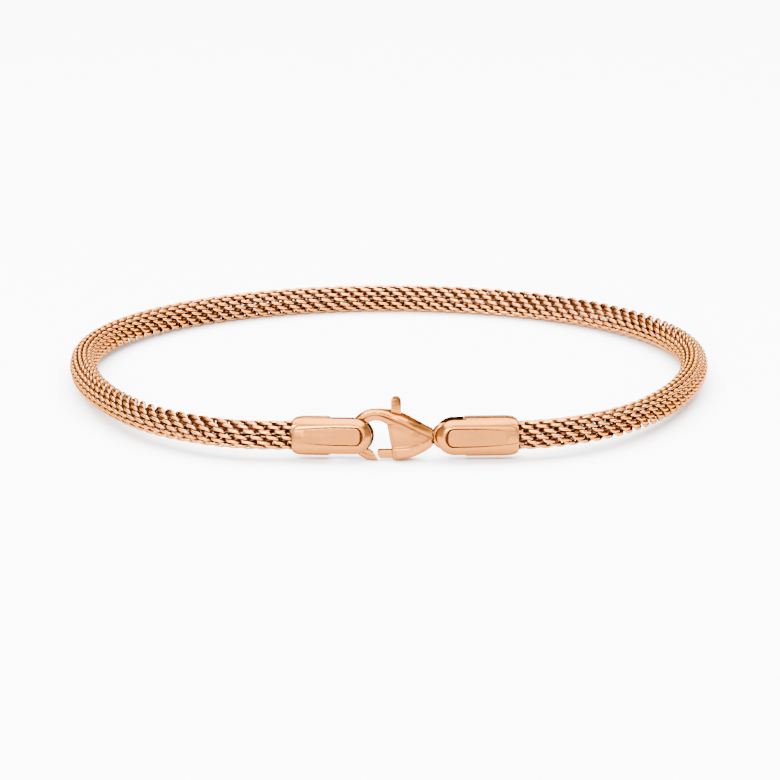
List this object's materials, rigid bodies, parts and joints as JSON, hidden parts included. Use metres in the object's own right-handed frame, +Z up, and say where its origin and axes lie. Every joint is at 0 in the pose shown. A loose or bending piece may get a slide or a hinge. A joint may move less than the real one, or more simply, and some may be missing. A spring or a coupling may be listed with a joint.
{
  "type": "mesh bracelet",
  "caption": "Woven metal mesh bracelet: a hollow mesh tube bent into a wrist loop, capped ends and a hook clasp whose gate opens with a thumb lever.",
  "frame": {"origin": "middle of the bracelet's footprint, on the surface it lies on", "axes": "+X along the clasp from its hook to its tail, +Y from the clasp to the back of the loop, +Z up"},
  "size_m": [0.0628, 0.0596, 0.0061],
  "materials": {
    "woven_mesh": "bright rose gold plated wire, woven",
    "polished_caps": "polished rose gold plating over steel",
    "polished_clasp": "polished rose gold plating over steel"
  },
  "bodies": {
    "bracelet": {"mesh_tube": "woven_mesh", "left_end_cap": "polished_caps", "right_end_cap": "polished_caps", "clasp_body": "polished_clasp", "clasp_pin": "polished_clasp"},
    "lever": {"clasp_lever": "polished_clasp"}
  },
  "joints": [
    {"name": "gate_hinge", "type": "hinge", "parent": "bracelet", "child": "lever", "pos_m": [0.00209, -0.02799, 0.00247], "axis": [0, 1, 0], "range_deg": [0, 18], "stiffness_Nm_per_rad": 0.00005, "springref_deg": -20.05}
  ]
}
